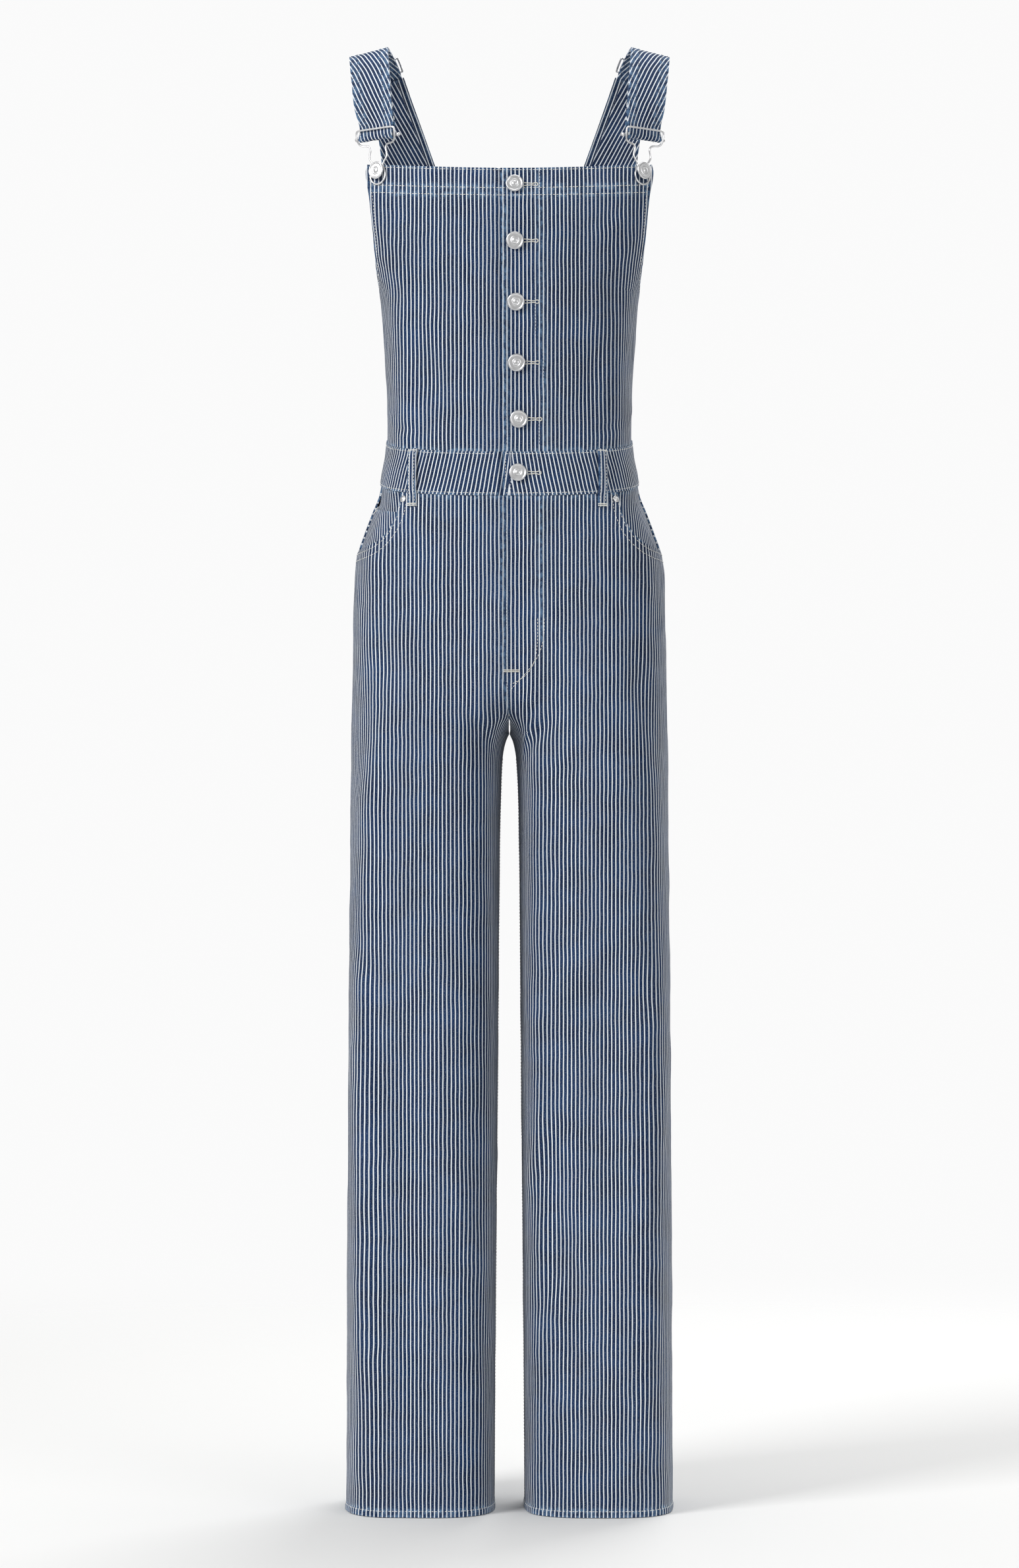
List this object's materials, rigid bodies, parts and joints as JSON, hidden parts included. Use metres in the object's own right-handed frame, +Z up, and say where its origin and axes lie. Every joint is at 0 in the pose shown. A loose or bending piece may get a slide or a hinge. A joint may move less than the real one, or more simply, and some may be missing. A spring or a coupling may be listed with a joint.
{
  "type": "denim bib overalls",
  "caption": "Striped denim bib overalls with straight wide legs, worn and hollow, with a buttoned bib, wire strap buckles, belt loops and scoop hip pockets",
  "frame": {"origin": "Midway between the tops of the two shoulder straps, where the wearer's shoulders hold the garment", "axes": "+Z up along the body, -Y the front of the garment, +X the wearer's left"},
  "size_m": [0.3296, 0.2481, 1.4746],
  "materials": {
    "denim": "navy and white striped cotton denim, washed, with off-white stitching",
    "strap": "the same striped denim cut on a slant for the straps",
    "nickel": "satin nickel plated brass and steel wire"
  },
  "bodies": {
    "root": {"bib_front_right": "denim", "bib_front_left": "denim", "back_bodice_right": "denim", "back_bodice_left": "denim", "waistband_front_right": "denim", "waistband_front_left": "denim", "waistband_back": "denim", "leg_front_right": "denim", "leg_front_left": "denim", "leg_back_right": "denim", "leg_back_left": "denim", "pocket_facing_right": "denim", "pocket_facing_left": "denim", "coin_pocket": "denim", "belt_loop_front_right": "denim", "belt_loop_front_left": "denim", "belt_loop_side_right": "denim", "belt_loop_side_left": "denim", "belt_loop_back": "denim", "strap_right": "strap", "strap_left": "strap", "slider_right": "nickel", "slider_left": "nickel", "buckle_right": "nickel", "buckle_left": "nickel", "slide_bar_right": "nickel", "slide_bar_left": "nickel", "strap_button_right": "nickel", "strap_button_left": "nickel", "bib_button_1": "nickel", "bib_button_2": "nickel", "bib_button_3": "nickel", "bib_button_4": "nickel", "bib_button_5": "nickel", "waist_button": "nickel", "rivet_right": "nickel", "rivet_left": "nickel"}
  },
  "joints": []
}
